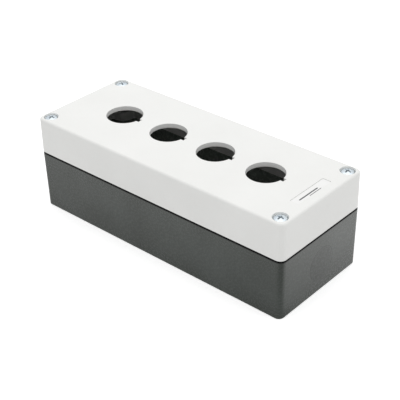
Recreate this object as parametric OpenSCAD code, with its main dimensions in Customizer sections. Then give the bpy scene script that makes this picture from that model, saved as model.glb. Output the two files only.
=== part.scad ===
// Surface-mounting enclosure of a four-way pushbutton control station, with its lid screwed on.
// The long side runs along X and ends at the marking field. The lid faces +Z.
// The origin is the centre of the back face, which lies on the wall or the bench.

/* [Enclosure] */
// Overall length at the parting line
body_l = 186; // [176:1:220]
// Overall width at the parting line
body_w = 72; // [68:1:100]
// Height of the base up to its outer shoulder
base_h = 37; // [32:1:60]
// Height of the lid above the shadow gap
lid_h = 23; // [20:1:32]
// Height of the shadow gap between base and lid
gap_h = 1; // [0.6:0.1:2]
// Radius of the four upright corners
corner_r = 4; // [3.6:0.2:5]
// How far each side of the base draws in down to its foot
base_draft = 0.5; // [0.1:0.1:1]
// How far each side of the lid draws in up to its top
lid_draft = 0.15; // [0.05:0.05:0.5]
// Radius round the top edge of the lid
lid_edge_r = 1.4; // [0.8:0.1:1.5]
// Radius round the foot of the base
foot_edge_r = 0.6; // [0.3:0.1:1.2]
// Radius on the two edges along the shadow gap
rim_edge_r = 0.3; // [0.2:0.05:0.6]

/* [Walls] */
// Thickness of the base floor
floor_t = 3; // [2:0.1:4]
// Thickness of the lid's top plate
lid_t = 2.8; // [2:0.1:4]
// Thickness of the lid's side walls above the rim
lid_wall = 2.8; // [2.2:0.1:3.4]
// Height of the stiffening ribs under the lid
lid_rib_h = 1.6; // [0.8:0.1:3]
// Thickness of the stiffening ribs under the lid
lid_rib_t = 1.2; // [0.8:0.1:2]
// Height of the stiffening ribs on the floor of the base
floor_rib_h = 1.5; // [0.8:0.1:2.5]
// Thickness of the stiffening ribs on the floor of the base
floor_rib_t = 1.5; // [0.8:0.1:2.5]
// Distance between the two long floor ribs
floor_rib_gap = 24; // [16:1:28]

/* [Rim seal] */
// Thickness of the lid's outer lip beside the seal groove
lip_w = 1.3; // [1:0.1:1.6]
// Thickness of the sealing tongue on the base
tongue_w = 1.5; // [1:0.1:1.7]
// Clearance between the tongue and each side of the groove
tongue_clear = 0.2; // [0.1:0.05:0.3]
// Thickness of the lid's inner rib beside the seal groove
rim_rib_w = 1; // [0.8:0.1:1.4]
// Material left above the seal groove
rim_roof_t = 1.5; // [1:0.1:3]
// How far the tongue reaches into the lid
tongue_reach = 2.5; // [1.5:0.1:4]
// Height of the gasket as compressed
gasket_t = 2; // [1.2:0.1:3]
// Clearance between the gasket and each side of its groove
gasket_clear = 0.1; // [0.05:0.05:0.15]

/* [Operator holes] */
// Number of operator holes
hole_count = 4; // [1:1:4]
// Distance between neighbouring operator holes
hole_pitch = 36; // [30:1:38]
// Diameter of an operator hole of the 22 mm series
hole_d = 22.4; // [22.3:0.1:23]
// Width of the key notch at each hole
key_w = 3.2; // [2.8:0.1:3.6]
// Depth of the key notch beyond the hole's edge
key_depth = 1.8; // [1.4:0.1:2.2]

/* [Marking field] */
// Width of the marking field, along X
field_w = 5.8; // [4:0.1:6]
// Length of the marking field, along Y
field_l = 29.4; // [20:0.2:34]
// Depth of the marking field below the lid's top
field_depth = 0.45; // [0.3:0.05:0.8]
// Distance from the end of the enclosure to the field's outer edge
field_inset = 6; // [4:0.1:6.5]
// Radius in the corners of the marking field
field_corner_r = 0.8; // [0.4:0.1:1.5]
// Thickness of the label plate in the field
label_t = 0.2; // [0.1:0.05:0.25]
// Clearance between the label plate and the edges of its field
label_clear = 0.15; // [0.1:0.05:0.4]

/* [Lid screws] */
// Distance from the outer faces to each screw's axis
screw_inset = 6.1; // [5.7:0.1:6.6]
// Radius of the recess that takes the screw head
recess_r = 4.5; // [4.3:0.1:4.8]
// How far the crown of the screw head lies below the lid's top
head_sink = 0; // [0:0.1:1]
// Radius of the screw head
head_r = 3.6; // [3.2:0.1:3.9]
// Height of the screw head
head_h = 2.4; // [2:0.1:3]
// Radius of the crowned face of the screw head
head_crown_r = 8; // [6:0.5:14]
// Size across the wings of the cross recess in the head
drive_span = 4.4; // [3.4:0.1:4.8]
// Size across the wings at the bottom of the cross recess
drive_span_end = 1.8; // [1.2:0.1:2.6]
// Thickness of the wings of the cross recess
drive_w = 0.9; // [0.6:0.1:1.2]
// Depth of the cross recess
drive_depth = 1.6; // [1:0.1:1.9]
// Radius of the screw thread over its crests
thread_r = 2; // [1.8:0.05:2.1]
// Pitch of the screw thread
thread_pitch = 0.7; // [0.5:0.1:0.8]
// Depth of the screw thread
thread_depth = 0.4; // [0.2:0.05:0.45]
// Length of thread that reaches below the lid
thread_reach = 4.8; // [4:0.1:5.4]
// Radius of the waist between thread and head
waist_r = 1.5; // [1.2:0.05:1.6]
// Upward travel of a loosened captive screw
screw_travel = 6; // [5.6:0.1:7]

/* [Washers and inserts] */
// Radius of the plain washer under each screw head
washer_r = 4.2; // [4:0.1:4.25]
// Thickness of the plain washer under each screw head
washer_t = 0.8; // [0.5:0.1:1.2]
// Radius of the retaining washer on each screw's waist
keeper_r = 3.3; // [2.8:0.1:3.4]
// Thickness of the retaining washer
keeper_t = 0.8; // [0.6:0.1:1.2]
// Radius of the pocket in the lid in which the retaining washer slides
pocket_r = 3.6; // [3.5:0.05:3.8]
// Outer radius of the brass insert
insert_r = 2.8; // [2.6:0.1:3.2]
// Length of the brass insert
insert_l = 6; // [5.6:0.1:8]

/* [Corner posts] */
// Radius of the lid's post round each screw
post_r = 5.2; // [4.8:0.1:5.6]
// Radius of the foot on the base on which each lid post stands
foot_pad_r = 4.2; // [3.6:0.1:4.6]
// Radius of the coring hole that runs up each base post from the back
core_r = 3.8; // [2:0.1:4]
// Material left between the coring hole and the screw's hole
core_roof_t = 3.5; // [2:0.1:6]

/* [Wall fixing] */
// Distance between the wall-fixing holes along X
fixing_x = 140; // [100:1:144]
// Distance between the wall-fixing holes along Y
fixing_y = 44; // [36:1:46]
// Diameter of the wall-fixing holes
fixing_d = 5; // [4:0.1:6]
// Radius of the boss round each wall-fixing hole
fixing_boss_r = 5.5; // [4.5:0.1:6.5]
// Height of each wall-fixing boss above the floor
fixing_boss_h = 3; // [2.6:0.1:5]

/* [Cable entries] */
// Diameter of the knock-out in each end, for a 20 mm gland
entry_d = 20.5; // [16:0.5:22]
// Height of the knock-outs above the back face
entry_z = 18.5; // [16:0.5:20]
// Thickness of the web that closes each knock-out
entry_web = 1.2; // [0.8:0.1:1.6]

/* [Hidden] */

// Fineness of true circles
$fn = 64;
// Overrun by which every cut passes the face that it opens
over = 1;

// Signs of the four corners, counted round from the near left one
corner_shares = [[-1, -1], [1, -1], [1, 1], [-1, 1]];
// Angle at which each screw's cross recess came to rest
drive_angles = [12, 1, 86, 65];

// Heights of the main planes
seat_z = base_h + gap_h;
top_z = seat_z + lid_h;
lid_ceiling_z = top_z - lid_t;

// Screw axes
screw_x = body_l / 2 - screw_inset;
screw_y = body_w / 2 - screw_inset;

// Rim seal: distances in from the outer faces, and radii round each screw axis
groove_w = tongue_w + 2 * tongue_clear;
groove_in = lip_w + groove_w;
base_wall = lip_w + tongue_clear + tongue_w;
groove_h = tongue_reach + gasket_t;
rim_top_z = seat_z + groove_h + rim_roof_t;
// The seal's turns beside each post are rounded by this share of the screw inset
turn_share = 0.86;
turn_r = turn_share * screw_inset;
// Smallest radius of a turn
turn_min_r = 0.3;
// The insert is turned down over this share of its length, by the depth of the screw thread
insert_waist_share = 1 / 3;

// Lid screw: heights of the head, the seat and the tip
head_z = top_z - head_sink - head_h;
recess_z = head_z - washer_t;
tip_z = seat_z - thread_reach;
tip_chamfer = thread_depth;
thread_root_r = thread_r - thread_depth;
thread_turns = floor((thread_reach - tip_chamfer) / thread_pitch);
// Clearances round the screw: running fit, free passage and under the tip
thread_clear = 0.05;
waist_clear = 0.08;
passage_clear = 0.25;
tip_clear = 1.5;
keeper_clear = 0.2;
insert_clear = 0.02;
pocket_z = seat_z + keeper_t + screw_travel + keeper_clear;
screw_hole_z = seat_z - max(insert_l, thread_reach) - tip_clear;

// End face at the height of the knock-outs
entry_face_x = body_l / 2 - base_draft * (1 - entry_z / base_h);

// Places its children at corner n, on the screw's axis
module at_corner(n) {
    translate([corner_shares[n - 1][0] * screw_x, corner_shares[n - 1][1] * screw_y, 0]) children();
}

// Repeats its children on all four screw axes
module at_corners() {
    for (n = [1:4]) at_corner(n) children();
}

// Repeats its children on the wall-fixing holes
module at_fixings() {
    for (s = corner_shares) translate([s[0] * fixing_x / 2, s[1] * fixing_y / 2, 0]) children();
}

// Rectangle with true round corners, from its half sizes
module rounded_rect(x, y, r) {
    square([2 * x, 2 * (y - r)], center = true);
    square([2 * (x - r), 2 * y], center = true);
    for (s = corner_shares) translate([s[0] * (x - r), s[1] * (y - r)]) circle(r);
}

// Outline that lies inset inside the outer faces and passes each screw axis at the distance post
module inner_outline(inset, post) {
    x = body_l / 2 - inset;
    y = body_w / 2 - inset;
    r = max(turn_r - inset, turn_min_r);
    rounded_rect(screw_x - post, y, r);
    rounded_rect(x, screw_y - post, r);
    difference() {
        square([2 * screw_x, 2 * screw_y], center = true);
        for (s = corner_shares) translate([s[0] * screw_x, s[1] * screw_y]) circle(post);
    }
}

// Upright ring between two such outlines, from height z0 to z1
module seal_ring(inset0, post0, inset1, post1, z0, z1) {
    translate([0, 0, z0]) linear_extrude(z1 - z0) difference() {
        inner_outline(inset0, post0);
        inner_outline(inset1, post1);
    }
}

// Half section of a wall, from the axis of an upright corner outwards: it runs from x0 at height z0
// up to x1 at height z1, with edges of radius r0 below and r1 above
module wall_section(x0, z0, x1, z1, r0, r1) {
    lean = atan((x1 - x0) / (z1 - z0));
    t0 = r0 / tan((90 + lean) / 2);
    t1 = r1 / tan((90 - lean) / 2);
    polygon([[0, z0], [x0 - t0, z0], [x0 + t0 * sin(lean), z0 + t0 * cos(lean)],
        [x1 - t1 * sin(lean), z1 - t1 * cos(lean)], [x1 - t1, z1], [0, z1]]);
    translate([x0 - t0, z0 + r0]) circle(r0);
    translate([x1 - t1, z1 - r1]) circle(r1);
}

// Solid block with the given wall all round, and true round corners
module drafted_block(inset0, z0, inset1, z1, r0, r1) {
    x = body_l / 2 - corner_r;
    y = body_w / 2 - corner_r;
    for (side = [0, 1]) mirror([side, 0, 0]) {
        translate([x, 0, 0]) rotate([90, 0, 0]) linear_extrude(2 * y, center = true)
            wall_section(corner_r - inset0, z0, corner_r - inset1, z1, r0, r1);
        for (end = [0, 1]) mirror([0, end, 0]) translate([x, y, 0]) rotate_extrude()
            wall_section(corner_r - inset0, z0, corner_r - inset1, z1, r0, r1);
    }
    for (side = [0, 1]) mirror([0, side, 0])
        translate([0, y, 0]) rotate([90, 0, 90]) linear_extrude(2 * x, center = true)
            wall_section(corner_r - inset0, z0, corner_r - inset1, z1, r0, r1);
    translate([-x, -y, z0]) cube([2 * x, 2 * y, z1 - z0]);
}

// Knock-out at the +X end, cut from inside up to the web that closes it
module entry_cut() {
    start_x = body_l / 2 - base_wall - over;
    translate([start_x, 0, entry_z])
        rotate([0, 90, 0]) cylinder(d = entry_d, h = entry_face_x - entry_web - start_x);
}

// Ribs on the floor of the base: two long ones, and one across between each pair of holes
module floor_ribs() {
    rib_l = body_l - 2 * base_wall;
    rib_w = body_w - 2 * base_wall;
    translate([0, 0, floor_t]) {
        for (side = [-1, 1])
            translate([0, side * floor_rib_gap / 2, floor_rib_h / 2])
                cube([rib_l, floor_rib_t, floor_rib_h], center = true);
        for (i = [1:1:hole_count - 1])
            translate([(i - hole_count / 2) * hole_pitch, 0, floor_rib_h / 2])
                cube([floor_rib_t, rib_w, floor_rib_h], center = true);
    }
}

// Deep tray with solid corner posts, a sealing tongue, wall-fixing bosses and two knock-outs
module base() {
    color([0.32, 0.33, 0.32]) difference() {
        union() {
            difference() {
                drafted_block(base_draft, 0, 0, base_h, foot_edge_r, rim_edge_r);
                translate([0, 0, floor_t])
                    linear_extrude(base_h - floor_t + over)
                        inner_outline(base_wall, post_r + tongue_clear + tongue_w);
            }
            seal_ring(lip_w + tongue_clear, post_r + tongue_clear, base_wall,
                post_r + tongue_clear + tongue_w, base_h - over, seat_z + tongue_reach);
            at_corners() translate([0, 0, base_h - over]) cylinder(r = foot_pad_r, h = gap_h + over);
            at_fixings() translate([0, 0, floor_t]) cylinder(r = fixing_boss_r, h = fixing_boss_h);
            floor_ribs();
        }
        at_corners() {
            translate([0, 0, seat_z - insert_l]) cylinder(r = insert_r + insert_clear, h = insert_l + over);
            translate([0, 0, screw_hole_z]) cylinder(r = thread_r + passage_clear, h = seat_z - screw_hole_z);
            translate([0, 0, -over]) cylinder(r = core_r, h = screw_hole_z - core_roof_t + over);
        }
        at_fixings() translate([0, 0, -over]) cylinder(d = fixing_d, h = floor_t + fixing_boss_h + 2 * over);
        entry_cut();
        mirror([1, 0, 0]) entry_cut();
    }
}

// Operator hole with its key notch towards +X
module operator_hole() {
    cylinder(d = hole_d, h = lid_t + 2 * over);
    translate([0, -key_w / 2, 0]) cube([hole_d / 2 + key_depth, key_w, lid_t + 2 * over]);
}

// Outline of the marking field, drawn in by the given clearance
module field_outline(clear) {
    translate([body_l / 2 - field_inset - field_w / 2, 0])
        rounded_rect(field_w / 2 - clear, field_l / 2 - clear, field_corner_r);
}

// Box lid with a double rim that holds the gasket, four operator holes and four screw posts
module lid() {
    color([0.93, 0.93, 0.92]) difference() {
        drafted_block(0, seat_z, lid_draft, top_z, rim_edge_r, lid_edge_r);
        difference() {
            translate([0, 0, seat_z - over]) linear_extrude(lid_ceiling_z - seat_z + over)
                inner_outline(lid_wall, post_r);
            translate([0, 0, seat_z - over]) linear_extrude(rim_top_z - seat_z + over) difference() {
                square([body_l, body_w], center = true);
                inner_outline(groove_in + rim_rib_w, post_r + groove_w + rim_rib_w);
            }
            for (i = [1:1:hole_count - 1])
                translate([(i - hole_count / 2) * hole_pitch - lid_rib_t / 2, -body_w / 2,
                    lid_ceiling_z - lid_rib_h])
                    cube([lid_rib_t, body_w, lid_rib_h + over]);
        }
        seal_ring(lip_w, post_r, groove_in, post_r + groove_w, seat_z - over, seat_z + groove_h);
        for (i = [0:1:hole_count - 1])
            translate([(i - (hole_count - 1) / 2) * hole_pitch, 0, lid_ceiling_z - over]) operator_hole();
        at_corners() {
            translate([0, 0, recess_z]) cylinder(r = recess_r, h = top_z - recess_z + over);
            translate([0, 0, seat_z - over])
                cylinder(r = thread_r + passage_clear, h = recess_z - seat_z + 2 * over);
            translate([0, 0, seat_z - over]) cylinder(r = pocket_r, h = pocket_z - seat_z + over);
        }
        translate([0, 0, top_z - field_depth]) linear_extrude(field_depth + over) field_outline(0);
    }
}

// Rubber gasket ring that fills the top of the lid's groove and passes inside the screws
module gasket() {
    color([0.1, 0.1, 0.1])
        seal_ring(lip_w + gasket_clear, post_r + gasket_clear, groove_in - gasket_clear,
            post_r + groove_w - gasket_clear, seat_z + tongue_reach, seat_z + groove_h);
}

// Blank label plate in the marking field
module label() {
    color([0.95, 0.95, 0.95])
        translate([0, 0, top_z - field_depth]) linear_extrude(label_t) field_outline(label_clear);
}

// Half section of the screw: crowned head, waist, ringed thread and chamfered tip
module screw_section() {
    translate([0, head_z]) intersection() {
        square([head_r, head_h]);
        translate([0, head_h - head_crown_r]) circle(head_crown_r);
    }
    translate([0, seat_z]) square([waist_r, head_z - seat_z]);
    thread_top = tip_z + tip_chamfer + thread_turns * thread_pitch;
    polygon(concat(
        [[0, tip_z], [thread_root_r, tip_z]],
        [for (i = [0:thread_turns - 1], side = [0, 1])
            [side == 0 ? thread_root_r : thread_r, tip_z + tip_chamfer + (i + side / 2) * thread_pitch]],
        [[thread_root_r, thread_top], [thread_r, seat_z], [0, seat_z]]
    ));
}

// One wing of the cross recess, tapering towards its bottom
module drive_wing() {
    translate([0, drive_w / 2, 0]) rotate([90, 0, 0]) linear_extrude(drive_w)
        polygon([[-drive_span_end / 2, -drive_depth], [drive_span_end / 2, -drive_depth],
            [drive_span / 2, 0], [drive_span / 2, over], [-drive_span / 2, over], [-drive_span / 2, 0]]);
}

// Captive lid screw n with a crowned head and a cross recess
module lid_screw(n) {
    color([0.74, 0.77, 0.8]) at_corner(n) difference() {
        rotate_extrude() screw_section();
        translate([0, 0, head_z + head_h]) rotate([0, 0, drive_angles[n - 1]]) {
            drive_wing();
            rotate([0, 0, 90]) drive_wing();
        }
    }
}

// Flat ring standing on height z
module ring(outer_r, bore_r, z, h) {
    translate([0, 0, z]) difference() {
        cylinder(r = outer_r, h = h);
        translate([0, 0, -over]) cylinder(r = bore_r, h = h + 2 * over);
    }
}

// Plain washer under the head of screw n
module head_washer(n) {
    color([0.7, 0.73, 0.76]) at_corner(n) ring(washer_r, thread_r + passage_clear, recess_z, washer_t);
}

// Retaining washer on the waist of screw n, above its thread
module retaining_washer(n) {
    color([0.9, 0.89, 0.84]) at_corner(n) ring(keeper_r, waist_r + waist_clear, seat_z, keeper_t);
}

// Brass insert in base post n, turned down in the middle to key it in the plastic
module threaded_insert(n) {
    color([0.78, 0.62, 0.3]) at_corner(n) difference() {
        ring(insert_r, thread_r + thread_clear, seat_z - insert_l, insert_l);
        ring(insert_r + over, insert_r - thread_depth, seat_z - insert_l * (1 + insert_waist_share) / 2,
            insert_l * insert_waist_share);
    }
}

base();
lid();
gasket();
label();
lid_screw(1);  // lid_screw_1
lid_screw(2);  // lid_screw_2
lid_screw(3);  // lid_screw_3
lid_screw(4);  // lid_screw_4
head_washer(1);  // head_washer_1
head_washer(2);  // head_washer_2
head_washer(3);  // head_washer_3
head_washer(4);  // head_washer_4
retaining_washer(1);  // retaining_washer_1
retaining_washer(2);  // retaining_washer_2
retaining_washer(3);  // retaining_washer_3
retaining_washer(4);  // retaining_washer_4
threaded_insert(1);  // threaded_insert_1
threaded_insert(2);  // threaded_insert_2
threaded_insert(3);  // threaded_insert_3
threaded_insert(4);  // threaded_insert_4
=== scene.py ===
"""Looks of a pushbutton station: moulded plastics, plated screws, a ruled label and a soft studio."""

import math

import bmesh
import bpy
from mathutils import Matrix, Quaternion, Vector


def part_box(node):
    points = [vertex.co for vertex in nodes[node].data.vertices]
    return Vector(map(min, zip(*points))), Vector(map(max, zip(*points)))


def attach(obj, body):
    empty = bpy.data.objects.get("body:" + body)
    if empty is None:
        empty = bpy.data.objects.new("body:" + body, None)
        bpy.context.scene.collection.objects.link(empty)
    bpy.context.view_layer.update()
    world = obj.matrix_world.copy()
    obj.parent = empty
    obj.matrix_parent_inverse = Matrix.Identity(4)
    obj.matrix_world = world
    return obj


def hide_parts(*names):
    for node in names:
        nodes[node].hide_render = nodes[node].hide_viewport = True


MM = 0.001
WHITE = (1.0, 1.0, 1.0)

# Camera, fitted to the photograph's edges, holes and screws
IMAGE_PX = 400
FOCAL_PX = 999.2
SENSOR_MM = 36
CAMERA_PLACE = Vector((0.33999, -0.36986, 0.33742))
CAMERA_AIM = Vector((0.01192, -0.00721, 0.03))
CAMERA_ROLL = math.radians(-1.4)
CLIP_START = 10 * MM

# Lid screws: how far each is turned, in degrees, and the sizes that the parts' boxes don't give
DRIVE_ANGLES = {1: 12, 2: 1, 3: 86, 4: 65}
SCREW_SEGMENTS = 80
HEAD_HEIGHT = 2.4 * MM
HEAD_EDGE = 0.35 * MM
HEAD_EDGE_DROP = 0.8 * HEAD_EDGE
HEAD_CHAMFER = 0.15 * MM
CROWN_RADIUS = 8 * MM
CROWN_RINGS = 56
EDGE_RINGS = 6
NECK_FILLET = 0.2 * MM
WAIST_RADIUS = 1.5 * MM

# Cross recess in the head: span at its top and bottom, its wings, its round core and the slope of its walls
DRIVE_SPAN = 4.4 * MM
DRIVE_SPAN_END = 1.8 * MM
DRIVE_WIDTH = 0.9 * MM
DRIVE_DEPTH = 1.6 * MM
DRIVE_CORE = 0.9 * MM
DRIVE_CORE_DEPTH = 0.9 * DRIVE_DEPTH
DRIVE_STEEPNESS = 9.0

# Thread: radius over its crests, sizes, the rings along it, and how the tip narrows
THREAD_RADIUS = 2 * MM
THREAD_DEPTH = 0.4 * MM
THREAD_ROOT = THREAD_RADIUS - THREAD_DEPTH
THREAD_PITCH = 0.7 * MM
THREAD_LENGTH = 4.8 * MM
THREAD_RINGS = 72
TIP_SHARE = 0.7
LEAD_SHARE = 0.85

# Thread's flanks, as shares of its depth: their peak, which the flat crest cuts off, and fall in one pitch
FLANK_PEAK = 1.25
FLANK_SLOPE = 2.5

# Folds, in degrees, up to which the CAD pieces and the screws are shaded smoothly
SMOOTH_ANGLE = 30
SCREW_SMOOTH_ANGLE = 40

# Label: place across, shift along and length of each ruled line, as shares of the label, and its thickness
LABEL_RULES = ((0.6, -0.1, 0.56, 0.9 * MM), (0.88, 0.04, 0.35, 0.45 * MM))
RULE_END_STEPS = 8
PRINT_HEIGHT = 0.02 * MM

# Part of a noise's range that the materials use
NOISE_LOW = 0.3
NOISE_HIGH = 0.7

# Plastics: size and detail of the broad clouds and fine flecks, detail of the grain, share of the flecks in
# the shade, sums of clouds and flecks where it is darkest and lightest, and change of the roughness by flecks
CLOUD_SIZE = 35 * MM
CLOUD_DETAIL = 3
FLECK_SIZE = 1.2 * MM
FLECK_DETAIL = 2
GRAIN_DETAIL = 4
FLECK_SHARE = 0.2
SHADE_DARKEST = 0.35
SHADE_LIGHTEST = 0.85
ROUGH_SPREAD = 0.02

# Knock-outs: radius and height, half width and depth of the scored ring, least distance of the end faces
# along X, the painted shade in the scored ring, and how much darker the disc in it is
ENTRY_RADIUS = 10.25 * MM
ENTRY_HEIGHT = 18.5 * MM
ENTRY_MARK = 0.4 * MM
ENTRY_SCORE = 0.05 * MM
END_FACE = 92 * MM
SCORE_PAINTED_SHADE = 0.5
DISC_SHADE = 0.78

# Shadow gap between base and lid: height, and the painted shade on the base's shoulder below it and on the
# lid's rim above it, with the distances from the gap up to which each painted shade is dark and at which it
# has faded
SHADOW_GAP = 1 * MM
GAP_PAINTED_SHADE = 0.03
SHOULDER_DARK = 0.2 * MM
SHOULDER_FADED = 0.5 * MM
RIM_DARK = 0.1 * MM
RIM_FADED = 0.22 * MM

# Inner surfaces of base and lid: how far in from the outer faces they start, radius of these faces' corners,
# thickness of the lid's plate, margins in height, painted light on the base's inside and painted shade on the
# lid's inside
INNER_INSET = 1.2 * MM
CORNER_RADIUS = 4 * MM
LID_PLATE = 2.8 * MM
PLATE_MARGIN = 0.05 * MM
RIM_MARGIN = 1 * MM
BASE_INSIDE_PAINTED_LIGHT = 2.7
LID_INSIDE_PAINTED_SHADE = 0.75

# Recesses of the lid's screws: radius that takes in their walls, and the painted light that lightens these
# walls
RECESS_RADIUS = 4.6 * MM
RECESS_WALL_PAINTED_LIGHT = 1.16

# Zinc plate: its dull patches, what they add to the roughness at least and at most, and its fine marks
PATCH_SIZE = 1.6 * MM
PATCH_DETAIL = 3
PATCH_TINT = (0.88, 0.93, 1.0)
PATCH_ROUGH_LEAST = -0.06
PATCH_ROUGH_MOST = 0.1
MARK_SIZE = 0.12 * MM
MARK_DETAIL = 3
MARK_DEPTH = 0.01 * MM
MARK_STRENGTH = 0.6

# Cross recess of the screws: painted shade, the shares of its depth where that starts and is full, added
# roughness
DRIVE_PAINTED_SHADE = 0.72
DRIVE_SHADE_START = 0.05
DRIVE_SHADE_FULL = 0.5
DRIVE_ROUGHNESS = 0.3

# Brass: dark and light shade, least and most roughness, tarnish, and depth of the turned rings
BRASS_DARK = (0.52, 0.34, 0.13)
BRASS_LIGHT = (0.78, 0.58, 0.27)
BRASS_ROUGHNESS = (0.24, 0.4)
TARNISH_SIZE = 1.5 * MM
TARNISH_DETAIL = 3
BRASS_RING_DEPTH = 0.2 * MM

# A wave texture at scale 1 turns by this many radians in a metre
WAVE_RADIANS = 20

# Rubber: dark and light shade, least and most roughness, bloom and grain
RUBBER_DARK = (0.012, 0.012, 0.012)
RUBBER_LIGHT = (0.03, 0.03, 0.031)
RUBBER_ROUGHNESS = (0.62, 0.78)
BLOOM_SIZE = 4 * MM
BLOOM_DETAIL = 3
RUBBER_GRAIN_SIZE = 0.25 * MM
RUBBER_GRAIN_DETAIL = 2
RUBBER_GRAIN_DEPTH = 0.02 * MM
RUBBER_GRAIN_STRENGTH = 0.8

# Ink: dark and light shade, least and most roughness, and unevenness of its cover
INK_DARK = (0.09, 0.092, 0.095)
INK_LIGHT = (0.17, 0.172, 0.176)
INK_ROUGHNESS = (0.45, 0.6)
COVER_SIZE = 0.4 * MM
COVER_DETAIL = 2

# Studio: the lamp's place, size and power, and the levels of the surround and the floor
LAMP_PLACE = (-0.1, 0.2, 1.3)
LAMP_AIM = (0, 0, 0.03)
LAMP_SIZE = 1.2
LAMP_POWER = 5
AMBIENT = 0.84
FLOOR_SIZE = 4
FLOOR_SHADE = 0.8
FLOOR_GLOW = 0.5

# Floor as reflections see it, beside the right end and in front: gain of light per metre, level at the origin
# and most light, then where the right part starts along Y, and where the front part fades along X and to what
RIGHT_GRADIENT = (9, 7.4, 0)
RIGHT_LEVEL = -0.25
RIGHT_MOST = 1.2
RIGHT_START = (-0.045, -0.022)
FRONT_GRADIENT = (-1.8, -6.5, 0)
FRONT_LEVEL = 0.12
FRONT_MOST = 0.75
FRONT_END = (0.085, 0.11)
FRONT_REST = 0.3

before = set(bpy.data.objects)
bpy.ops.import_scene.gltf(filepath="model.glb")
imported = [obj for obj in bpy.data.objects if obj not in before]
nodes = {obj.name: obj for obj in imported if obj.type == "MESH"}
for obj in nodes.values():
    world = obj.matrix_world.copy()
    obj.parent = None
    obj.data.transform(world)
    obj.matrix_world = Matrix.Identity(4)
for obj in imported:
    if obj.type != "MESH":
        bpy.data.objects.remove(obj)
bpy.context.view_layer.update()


def node_adder(tree):
    """A function that adds a node with its inputs and settings to a tree."""
    def add(kind, values=None, **settings):
        node = tree.nodes.new(kind)
        for key, value in settings.items():
            setattr(node, key, value)
        for key, value in (values or {}).items():
            if isinstance(value, bpy.types.NodeSocket):
                tree.links.new(value, node.inputs[key])
            else:
                node.inputs[key].default_value = value
        return node
    return add


def new_material(name):
    """A node material, its shader, a function that adds nodes and one that links a socket to the shader."""
    material = bpy.data.materials.new(name)
    material.use_nodes = True
    tree = material.node_tree
    shader = tree.nodes["Principled BSDF"]

    def link(socket, target):
        tree.links.new(socket, shader.inputs[target])

    return material, shader, node_adder(tree), link


def math_node(add, operation, *values):
    """The result of a math operation on sockets or numbers."""
    return add("ShaderNodeMath", dict(enumerate(values)), operation=operation).outputs[0]


def vector_node(add, operation, *values):
    """The result of a vector operation whose result is a vector."""
    return add("ShaderNodeVectorMath", dict(enumerate(values)), operation=operation).outputs[0]


def length_of(add, vector):
    """The length of a vector."""
    return add("ShaderNodeVectorMath", {0: vector}, operation="LENGTH").outputs["Value"]


def own_place(add):
    """The place on the piece itself."""
    return add("ShaderNodeTexCoord").outputs["Object"]


def split_place(add, place):
    """A place's X, Y and Z."""
    return add("ShaderNodeSeparateXYZ", {"Vector": place}).outputs


def noise(add, place, size, detail):
    """A noise between 0 and 1 whose blotches are about size metres across."""
    return add("ShaderNodeTexNoise", {"Vector": place, "Scale": 1 / size, "Detail": detail}).outputs["Fac"]


def ramp(add, value, low, high, start=NOISE_LOW, end=NOISE_HIGH):
    """A number that goes from low to high while a value goes from start to end."""
    limits = {"Value": value, "From Min": start, "From Max": end, "To Min": low, "To Max": high}
    return add("ShaderNodeMapRange", limits).outputs[0]


def shade_mix(add, factor, dark, light):
    """A colour between two others."""
    node = add("ShaderNodeMix", {"Factor": factor}, data_type="RGBA")
    node.inputs[6].default_value = (*dark, 1)
    node.inputs[7].default_value = (*light, 1)
    return node.outputs[2]


def bump(add, height, distance, strength=1.0, **settings):
    """A bump that rises by distance where height is 1."""
    values = {"Height": height, "Strength": strength, "Distance": distance}
    return add("ShaderNodeBump", values, **settings)


def bump_over(add, height, distance, normal, **settings):
    """A bump on top of another one."""
    values = {"Height": height, "Strength": 1.0, "Distance": distance, "Normal": normal}
    return add("ShaderNodeBump", values, **settings).outputs[0]


def gain(add, factor, colour, scale):
    """A colour that is scaled where the factor is 1 and kept where it is 0."""
    share = ramp(add, factor, 1, scale, 0, 1)
    return add("ShaderNodeVectorMath", {0: colour, "Scale": share}, operation="SCALE").outputs[0]


def without(add, factor, other):
    """A factor where another one is 0, and 0 where that is 1."""
    return math_node(add, "MULTIPLY", factor, math_node(add, "SUBTRACT", 1.0, other))


def corner_distance(add, place, x, y):
    """How far a place lies outwards of the upright lines at plus and minus x and y, as a vector."""
    folded = vector_node(add, "ABSOLUTE", place)
    offset = vector_node(add, "SUBTRACT", folded, (x, y, 0))
    return vector_node(add, "MULTIPLY", offset, (1, 1, 0))


def inside(add, place, node, low_z, high_z):
    """1 on the inner surfaces of a shell with round corners between two heights, and 0 outside it."""
    low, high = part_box(node)
    half = (high - low) / 2
    offset = corner_distance(add, place, half.x - CORNER_RADIUS, half.y - CORNER_RADIUS)
    radius = length_of(add, vector_node(add, "MAXIMUM", offset, (0, 0, 0)))
    height = split_place(add, place)["Z"]
    result = math_node(add, "LESS_THAN", radius, CORNER_RADIUS - INNER_INSET)
    result = math_node(add, "MULTIPLY", result, math_node(add, "GREATER_THAN", height, low_z))
    return math_node(add, "MULTIPLY", result, math_node(add, "LESS_THAN", height, high_z))


def keep(add, place, colour, normal):
    """Leaves a plastic's colour and bump as they are."""
    return colour, normal


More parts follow.
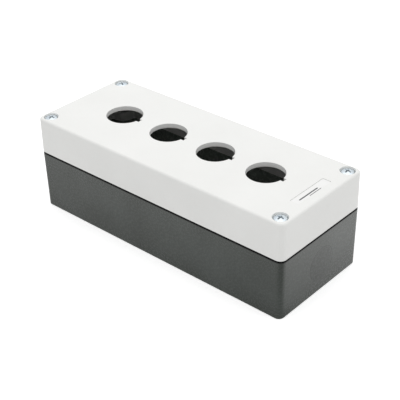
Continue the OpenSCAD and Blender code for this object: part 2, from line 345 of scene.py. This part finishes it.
def moulded_plastic(name, dark, light, rough, grain_size, grain_depth, wave_depth, ior=1.5, marks=keep):
    """Satin moulded plastic: a fine grain, soft sink waves, flow clouds, and extra marks, which on base and
    lid include painted light and shade.
    """
    material, shader, add, link = new_material(name)
    place = own_place(add)
    clouds = noise(add, place, CLOUD_SIZE, CLOUD_DETAIL)
    flecks = noise(add, place, FLECK_SIZE, FLECK_DETAIL)
    shade = math_node(add, "MULTIPLY_ADD", flecks, FLECK_SHARE, clouds)
    colour = shade_mix(add, ramp(add, shade, 0, 1, SHADE_DARKEST, SHADE_LIGHTEST), dark, light)
    grain = bump(add, noise(add, place, grain_size, GRAIN_DETAIL), grain_depth).outputs[0]
    colour, normal = marks(add, place, colour, bump_over(add, clouds, wave_depth, grain))
    link(colour, "Base Color")
    link(ramp(add, flecks, rough - ROUGH_SPREAD, rough + ROUGH_SPREAD), "Roughness")
    link(normal, "Normal")
    shader.inputs["IOR"].default_value = ior
    return material


def knock_out(add, place, colour, normal):
    """A knock-out in each end face: a thin scored ring darkened with painted shade, and a slightly darker
    disc in it.
    """
    split = split_place(add, place)
    rise = math_node(add, "ADD", split["Z"], -ENTRY_HEIGHT)
    radius = length_of(add, add("ShaderNodeCombineXYZ", {"Y": split["Y"], "Z": rise}).outputs[0])
    at_end = math_node(add, "GREATER_THAN", math_node(add, "ABSOLUTE", split["X"]), END_FACE)
    from_ring = math_node(add, "ABSOLUTE", math_node(add, "ADD", radius, -ENTRY_RADIUS))
    ring = math_node(add, "MULTIPLY", ramp(add, from_ring, 1, 0, 0, ENTRY_MARK), at_end)
    disc = ramp(add, radius, 1, 0, ENTRY_RADIUS - 2 * ENTRY_MARK, ENTRY_RADIUS)
    disc = math_node(add, "MULTIPLY", disc, at_end)
    # Painted shade darkens the scored ring, and the disc in it is made darker too
    colour = gain(add, disc, gain(add, ring, colour, SCORE_PAINTED_SHADE), DISC_SHADE)
    return colour, bump_over(add, ring, ENTRY_SCORE, normal, invert=True)


def base_marks(add, place, colour, normal):
    """The base's marks: knock-outs, painted shade on the shoulder at the shadow gap, and painted light on its
    inside.
    """
    colour, normal = knock_out(add, place, colour, normal)
    shoulder_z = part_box("lid")[0].z - SHADOW_GAP
    height = split_place(add, place)["Z"]
    # Painted shade darkens the shoulder just below the shadow gap, outside the inner surfaces, and painted
    # light lightens the inner surfaces
    shade = ramp(add, height, 0, 1, shoulder_z - SHOULDER_FADED, shoulder_z - SHOULDER_DARK)
    within = inside(add, place, "base", RIM_MARGIN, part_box("base")[1].z + RIM_MARGIN)
    colour = gain(add, without(add, shade, within), colour, GAP_PAINTED_SHADE)
    return gain(add, within, colour, BASE_INSIDE_PAINTED_LIGHT), normal


def lid_marks(add, place, colour, normal):
    """The lid's marks: painted shade on its inside and on its edge at the gap, painted light on the screw
    recesses' walls.
    """
    low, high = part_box("lid")
    # Painted shade darkens the lid's inner surfaces
    within = inside(add, place, "lid", low.z - RIM_MARGIN, high.z - LID_PLATE + PLATE_MARGIN)
    colour = gain(add, within, colour, LID_INSIDE_PAINTED_SHADE)
    # Screw 3 is the one where X and Y are positive, and its place is mirrored to the other three
    screw_low, screw_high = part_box("lid_screw_3")
    axis = (screw_low + screw_high) / 2
    radius = length_of(add, corner_distance(add, place, axis.x, axis.y))
    # Painted light lightens the walls of the screw recesses
    near = math_node(add, "LESS_THAN", radius, RECESS_RADIUS)
    colour = gain(add, near, colour, RECESS_WALL_PAINTED_LIGHT)
    # Painted shade darkens the lid's lower edge at the shadow gap, outside the inner surfaces
    rim = ramp(add, split_place(add, place)["Z"], 1, 0, low.z + RIM_DARK, low.z + RIM_FADED)
    return gain(add, without(add, rim, within), colour, GAP_PAINTED_SHADE), normal


def zinc_plate(name, tint, rough):
    """Zinc plate with a faint blue passivation, fine marks, dull patches, and painted shade in its duller
    cross recess.
    """
    material, shader, add, link = new_material(name)
    place = own_place(add)
    patches = noise(add, place, PATCH_SIZE, PATCH_DETAIL)
    cool = tuple(c * s for c, s in zip(tint, PATCH_TINT))
    colour = shade_mix(add, ramp(add, patches, 0, 1), cool, tint)
    # Painted shade darkens the cross recess by its depth, which also gets more roughness
    depth = add("ShaderNodeAttribute", attribute_name="recess").outputs["Fac"]
    deep = ramp(add, depth, 0, 1, DRIVE_SHADE_START, DRIVE_SHADE_FULL)
    colour = gain(add, deep, colour, DRIVE_PAINTED_SHADE)
    polish = ramp(add, patches, rough + PATCH_ROUGH_LEAST, rough + PATCH_ROUGH_MOST)
    marks = noise(add, place, MARK_SIZE, MARK_DETAIL)
    link(colour, "Base Color")
    link(math_node(add, "MULTIPLY_ADD", depth, DRIVE_ROUGHNESS, polish), "Roughness")
    link(bump(add, marks, MARK_DEPTH, MARK_STRENGTH).outputs[0], "Normal")
    shader.inputs["Metallic"].default_value = 1.0
    return material


def turned_brass(name):
    """Turned brass with fine rings, which also read as the thread in the bore."""
    material, shader, add, link = new_material(name)
    place = own_place(add)
    scale = math.tau / (THREAD_PITCH * WAVE_RADIANS)
    rings = add("ShaderNodeTexWave", {"Vector": place, "Scale": scale}, wave_type="BANDS",
                bands_direction="Z", wave_profile="SIN").outputs["Fac"]
    tarnish = noise(add, place, TARNISH_SIZE, TARNISH_DETAIL)
    link(shade_mix(add, ramp(add, tarnish, 0, 1), BRASS_DARK, BRASS_LIGHT), "Base Color")
    link(ramp(add, tarnish, *BRASS_ROUGHNESS), "Roughness")
    link(bump(add, rings, BRASS_RING_DEPTH).outputs[0], "Normal")
    shader.inputs["Metallic"].default_value = 1.0
    return material


def soft_rubber(name):
    """Matt black rubber with a fine bloom."""
    material, shader, add, link = new_material(name)
    place = own_place(add)
    bloom = noise(add, place, BLOOM_SIZE, BLOOM_DETAIL)
    grain = noise(add, place, RUBBER_GRAIN_SIZE, RUBBER_GRAIN_DETAIL)
    link(shade_mix(add, ramp(add, bloom, 0, 1), RUBBER_DARK, RUBBER_LIGHT), "Base Color")
    link(ramp(add, bloom, *RUBBER_ROUGHNESS), "Roughness")
    link(bump(add, grain, RUBBER_GRAIN_DEPTH, RUBBER_GRAIN_STRENGTH).outputs[0], "Normal")
    return material


def printed_ink(name):
    """Dull dark print with slightly uneven cover."""
    material, shader, add, link = new_material(name)
    cover = noise(add, own_place(add), COVER_SIZE, COVER_DETAIL)
    link(shade_mix(add, ramp(add, cover, 0, 1), INK_DARK, INK_LIGHT), "Base Color")
    link(ramp(add, cover, *INK_ROUGHNESS), "Roughness")
    return material


def smooth(piece, angle):
    """Marks as sharp only the edges that fold by more than the angle, in degrees."""
    mesh = bmesh.new()
    mesh.from_mesh(piece.data)
    limit = math.radians(angle)
    for edge in mesh.edges:
        edge.smooth = len(edge.link_faces) == 2 and edge.calc_face_angle(0.0) < limit
    for face in mesh.faces:
        face.smooth = True
    mesh.to_mesh(piece.data)
    mesh.free()


def dress(node, material):
    """Gives a CAD node its material, and shades its round faces smoothly."""
    piece = nodes[node]
    piece.data.materials.clear()
    piece.data.materials.append(material)
    smooth(piece, SMOOTH_ANGLE)


def new_piece(name, points, faces, material, body):
    """A new mesh piece that rides on a body."""
    mesh = bpy.data.meshes.new(name)
    mesh.from_pydata(points, [], faces)
    mesh.materials.append(material)
    piece = bpy.data.objects.new(name, mesh)
    bpy.context.scene.collection.objects.link(piece)
    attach(piece, body)
    return piece


def crown_height(top, radius):
    """Height of a screw's crowned head at a distance from its axis."""
    return top - CROWN_RADIUS + math.sqrt(CROWN_RADIUS ** 2 - radius ** 2)


def recess_depth(x, y, turn):
    """Depth of the cross recess at a point of the head, for a recess turned by an angle."""
    along = x * math.cos(turn) + y * math.sin(turn)
    across = -x * math.sin(turn) + y * math.cos(turn)
    end_slope = DRIVE_DEPTH / ((DRIVE_SPAN - DRIVE_SPAN_END) / 2)

    def wing(a, b):
        side = DRIVE_STEEPNESS * (DRIVE_WIDTH / 2 - abs(b))
        return min(side, end_slope * (DRIVE_SPAN / 2 - abs(a)), DRIVE_DEPTH)

    core = DRIVE_STEEPNESS / 2 * (DRIVE_CORE - math.hypot(x, y))
    return max(0.0, wing(along, across), wing(across, along), min(core, DRIVE_CORE_DEPTH))


def thread_offset(angle, height):
    """How far the thread lies above its root, at an angle and a height along the screw."""
    turn = (height / THREAD_PITCH - angle / math.tau) % 1.0
    return THREAD_DEPTH * min(1.0, max(0.0, FLANK_PEAK - FLANK_SLOPE * abs(turn - 0.5)))


def flat_ring(angles, radius, height):
    """A round ring of points."""
    return [(radius * math.cos(a), radius * math.sin(a), height) for a in angles]


def thread_rings(angles, tip):
    """The rings of the helical thread from the screw's tip to its waist."""
    rings = [flat_ring(angles, THREAD_ROOT * TIP_SHARE, tip)]
    for k in range(THREAD_RINGS + 1):
        rise = THREAD_LENGTH * k / THREAD_RINGS
        lead = min(1.0, rise / THREAD_PITCH)
        core = THREAD_ROOT * (LEAD_SHARE + (1 - LEAD_SHARE) * lead)
        radii = [core + lead * thread_offset(a, rise) for a in angles]
        rings.append([(r * math.cos(a), r * math.sin(a), tip + rise) for r, a in zip(radii, angles)])
    return rings


def head_rings(angles, radius, top, drive_angle):
    """The rings of the head from the neck under it to the middle of its cross recess."""
    under = top - HEAD_HEIGHT
    rings = [flat_ring(angles, WAIST_RADIUS, under - NECK_FILLET),
             flat_ring(angles, WAIST_RADIUS + NECK_FILLET, under),
             flat_ring(angles, radius - HEAD_CHAMFER, under),
             flat_ring(angles, radius, under + HEAD_CHAMFER)]
    edge_r = radius - HEAD_EDGE
    edge_z = crown_height(top, radius) - HEAD_EDGE_DROP
    for k in range(EDGE_RINGS + 1):
        bend = math.pi / 2 * k / EDGE_RINGS
        height = edge_z + (crown_height(top, edge_r) - edge_z) * math.sin(bend)
        rings.append(flat_ring(angles, edge_r + HEAD_EDGE * math.cos(bend), height))
    for k in range(1, CROWN_RINGS):
        r = edge_r * (1 - k / CROWN_RINGS)
        flat = flat_ring(angles, r, crown_height(top, r))
        rings.append([(x, y, z - recess_depth(x, y, drive_angle)) for x, y, z in flat])
    return rings


def mark_recess(piece, axis, top):
    """Stores how deep each point of the head lies below its crown, as a share of the cross recess."""
    depth = piece.data.attributes.new("recess", "FLOAT", "POINT")
    for point, share in zip(piece.data.vertices, depth.data):
        radius = math.hypot(point.co.x - axis.x, point.co.y - axis.y)
        in_recess = radius < DRIVE_SPAN / 2 and point.co.z > top - HEAD_HEIGHT
        below = max(0.0, crown_height(top, radius) - point.co.z) if in_recess else 0.0
        share.value = below / DRIVE_DEPTH


def skin(rings, first, last):
    """Points and faces of a closed skin over rings, between a first and a last point."""
    n = len(rings[0])
    points = [first] + [point for ring in rings for point in ring] + [last]
    end = 1 + (len(rings) - 1) * n
    faces = [(0, 1 + (k + 1) % n, 1 + k) for k in range(n)]
    for a in range(1, end, n):
        b = a + n
        faces += [(a + k, a + (k + 1) % n, b + (k + 1) % n, b + k) for k in range(n)]
    faces += [(end + k, end + (k + 1) % n, len(points) - 1) for k in range(n)]
    return points, faces


def lid_screw(number, material):
    """Replaces a lid screw by one with a helical thread and a formed cross recess."""
    node = f"lid_screw_{number}"
    low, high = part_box(node)
    axis = (low + high) / 2
    angles = [math.tau * k / SCREW_SEGMENTS for k in range(SCREW_SEGMENTS)]
    waist = [flat_ring(angles, WAIST_RADIUS, low.z + THREAD_LENGTH)]
    head = head_rings(angles, (high.x - low.x) / 2, high.z, math.radians(DRIVE_ANGLES[number]))
    rings = [[(axis.x + x, axis.y + y, z) for x, y, z in ring]
             for ring in thread_rings(angles, low.z) + waist + head]
    points, faces = skin(rings, (axis.x, axis.y, low.z), (axis.x, axis.y, high.z - DRIVE_DEPTH))
    piece = new_piece(f"captive_screw_{number}", points, faces, material, node)
    mark_recess(piece, axis, high.z)
    smooth(piece, SCREW_SMOOTH_ANGLE)
    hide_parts(node)


def rule_outline(x, middle, half, radius):
    """Outline of one ruled line with round ends."""
    outline = []
    for side, start in ((1, 0.0), (-1, math.pi)):
        for k in range(RULE_END_STEPS + 1):
            bend = start + math.pi * k / RULE_END_STEPS
            outline.append((x + radius * math.cos(bend),
                            middle + side * (half - radius) + radius * math.sin(bend)))
    return outline


def label_rules(material):
    """Prints plain ruled lines with round ends on the blank label."""
    low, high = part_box("label")
    length = high.y - low.y
    points, faces = [], []
    for place, shift, share, thickness in LABEL_RULES:
        x = low.x + (high.x - low.x) * place
        middle = (low.y + high.y) / 2 + length * shift
        outline = rule_outline(x, middle, length * share / 2, thickness / 2)
        base = len(points)
        count = len(outline)
        for z in (high.z, high.z + PRINT_HEIGHT):
            points += [(px, py, z) for px, py in outline]
        faces.append(tuple(range(base + count, base + 2 * count)))
        faces.append(tuple(reversed(range(base, base + count))))
        faces += [(base + k, base + (k + 1) % count, base + count + (k + 1) % count, base + count + k)
                  for k in range(count)]
    new_piece("label_ruled_lines", points, faces, material, "lid")


def top_lamp():
    """A broad soft square lamp above, which faces the object."""
    lamp = bpy.data.lights.new("lamp_top", "AREA")
    lamp.shape = "SQUARE"
    lamp.size = LAMP_SIZE
    lamp.energy = LAMP_POWER
    holder = bpy.data.objects.new("lamp_top", lamp)
    holder.location = LAMP_PLACE
    holder.rotation_mode = "QUATERNION"
    holder.rotation_quaternion = (Vector(LAMP_AIM) - Vector(LAMP_PLACE)).to_track_quat("-Z", "Y")
    bpy.context.scene.collection.objects.link(holder)


def light_path(add, *rays):
    """1 for the named kinds of ray and 0 for the rest."""
    path = add("ShaderNodeLightPath")
    total = path.outputs[rays[0]]
    for ray in rays[1:]:
        total = math_node(add, "MAXIMUM", total, path.outputs[ray])
    return total


def white_world():
    """A white surround that lights the object at the ambient level."""
    world = bpy.data.worlds.new("studio")
    bpy.context.scene.world = world
    world.use_nodes = True
    add = node_adder(world.node_tree)
    seen = light_path(add, "Is Camera Ray", "Is Glossy Ray", "Is Transmission Ray")
    level = ramp(add, seen, AMBIENT, 1.0, 0, 1)
    sky = world.node_tree.nodes["Background"]
    sky.inputs["Color"].default_value = (*WHITE, 1)
    world.node_tree.links.new(level, sky.inputs["Strength"])


def slope(add, place, gradient, level, most):
    """A light level that rises evenly along the floor, held between 0 and the most."""
    rise = add("ShaderNodeVectorMath", {0: place, 1: gradient}, operation="DOT_PRODUCT").outputs["Value"]
    total = math_node(add, "ADD", rise, level)
    return add("ShaderNodeClamp", {"Value": total, "Min": 0.0, "Max": most}).outputs[0]


def floor_sheen(add):
    """The floor's light in reflections, which fades towards the near corner."""
    place = own_place(add)
    split = split_place(add, place)
    right = slope(add, place, RIGHT_GRADIENT, RIGHT_LEVEL, RIGHT_MOST)
    right = math_node(add, "MULTIPLY", right, ramp(add, split["Y"], 0, 1, *RIGHT_START))
    front = slope(add, place, FRONT_GRADIENT, FRONT_LEVEL, FRONT_MOST)
    front = math_node(add, "MULTIPLY", front, ramp(add, split["X"], 1, FRONT_REST, *FRONT_END))
    return add("ShaderNodeEmission", {"Strength": math_node(add, "MAXIMUM", right, front)}).outputs[0]


def floor_material():
    """White paper that keeps the shadow, with a sheen of its own in reflections."""
    material, shader, add, link = new_material("floor_paper")
    shader.inputs["Base Color"].default_value = (FLOOR_SHADE, FLOOR_SHADE, FLOOR_SHADE, 1)
    shader.inputs["Roughness"].default_value = 1.0
    shader.inputs["Specular IOR Level"].default_value = 0.0
    shader.inputs["Emission Color"].default_value = (*WHITE, 1)
    seen = light_path(add, "Is Camera Ray", "Is Transmission Ray")
    link(math_node(add, "MULTIPLY", seen, FLOOR_GLOW), "Emission Strength")
    sides = {0: light_path(add, "Is Glossy Ray"), 1: shader.outputs[0], 2: floor_sheen(add)}
    tree = material.node_tree
    surface = tree.nodes["Material Output"].inputs["Surface"]
    tree.links.new(add("ShaderNodeMixShader", sides).outputs[0], surface)
    return material


def pale_floor():
    """A broad flat floor under the object."""
    corners = [(x * FLOOR_SIZE, y * FLOOR_SIZE, 0) for x, y in ((-1, -1), (1, -1), (1, 1), (-1, 1))]
    mesh = bpy.data.meshes.new("floor")
    mesh.from_pydata(corners, [], [(0, 1, 2, 3)])
    mesh.materials.append(floor_material())
    floor = bpy.data.objects.new("floor", mesh)
    bpy.context.scene.collection.objects.link(floor)


def camera():
    """The photograph's camera."""
    lens = bpy.data.cameras.new("camera")
    lens.sensor_width = SENSOR_MM
    lens.lens = FOCAL_PX * SENSOR_MM / IMAGE_PX
    lens.clip_start = CLIP_START
    holder = bpy.data.objects.new("camera", lens)
    holder.location = CAMERA_PLACE
    holder.rotation_mode = "QUATERNION"
    aim = (CAMERA_AIM - CAMERA_PLACE).to_track_quat("-Z", "Y")
    holder.rotation_quaternion = aim @ Quaternion((0, 0, 1), CAMERA_ROLL)
    bpy.context.scene.collection.objects.link(holder)
    bpy.context.scene.camera = holder


base_plastic = moulded_plastic(
    "base_plastic", dark=(0.0495, 0.055, 0.0485), light=(0.0765, 0.0855, 0.079), rough=0.27,
    grain_size=0.22 * MM, grain_depth=0.003 * MM, wave_depth=0.08 * MM, ior=1.58, marks=base_marks)
lid_plastic = moulded_plastic(
    "lid_plastic", dark=(0.8, 0.802, 0.785), light=(0.84, 0.842, 0.826), rough=0.4,
    grain_size=0.22 * MM, grain_depth=0.01 * MM, wave_depth=0.02 * MM, ior=1.36, marks=lid_marks)
label_plastic = moulded_plastic(
    "label_plastic", dark=(0.82, 0.82, 0.81), light=(0.86, 0.86, 0.85), rough=0.35,
    grain_size=0.5 * MM, grain_depth=0.004 * MM, wave_depth=0.01 * MM)
nylon = moulded_plastic(
    "nylon", dark=(0.72, 0.7, 0.62), light=(0.8, 0.78, 0.7), rough=0.5,
    grain_size=0.3 * MM, grain_depth=0.01 * MM, wave_depth=0.01 * MM)
screw_zinc = zinc_plate("screw_zinc", tint=(0.65, 0.69, 0.705), rough=0.46)
washer_zinc = zinc_plate("washer_zinc", tint=(0.94, 0.955, 0.96), rough=0.55)
brass = turned_brass("turned_brass")
rubber = soft_rubber("seal_rubber")
ink = printed_ink("rule_ink")

dress("base", base_plastic)
dress("lid", lid_plastic)
dress("gasket", rubber)
dress("label", label_plastic)
for number in DRIVE_ANGLES:
    dress(f"head_washer_{number}", washer_zinc)
    dress(f"retaining_washer_{number}", nylon)
    dress(f"threaded_insert_{number}", brass)
    lid_screw(number, screw_zinc)
label_rules(ink)
white_world()
pale_floor()
top_lamp()
camera()
bpy.context.scene.view_settings.view_transform = "Standard"
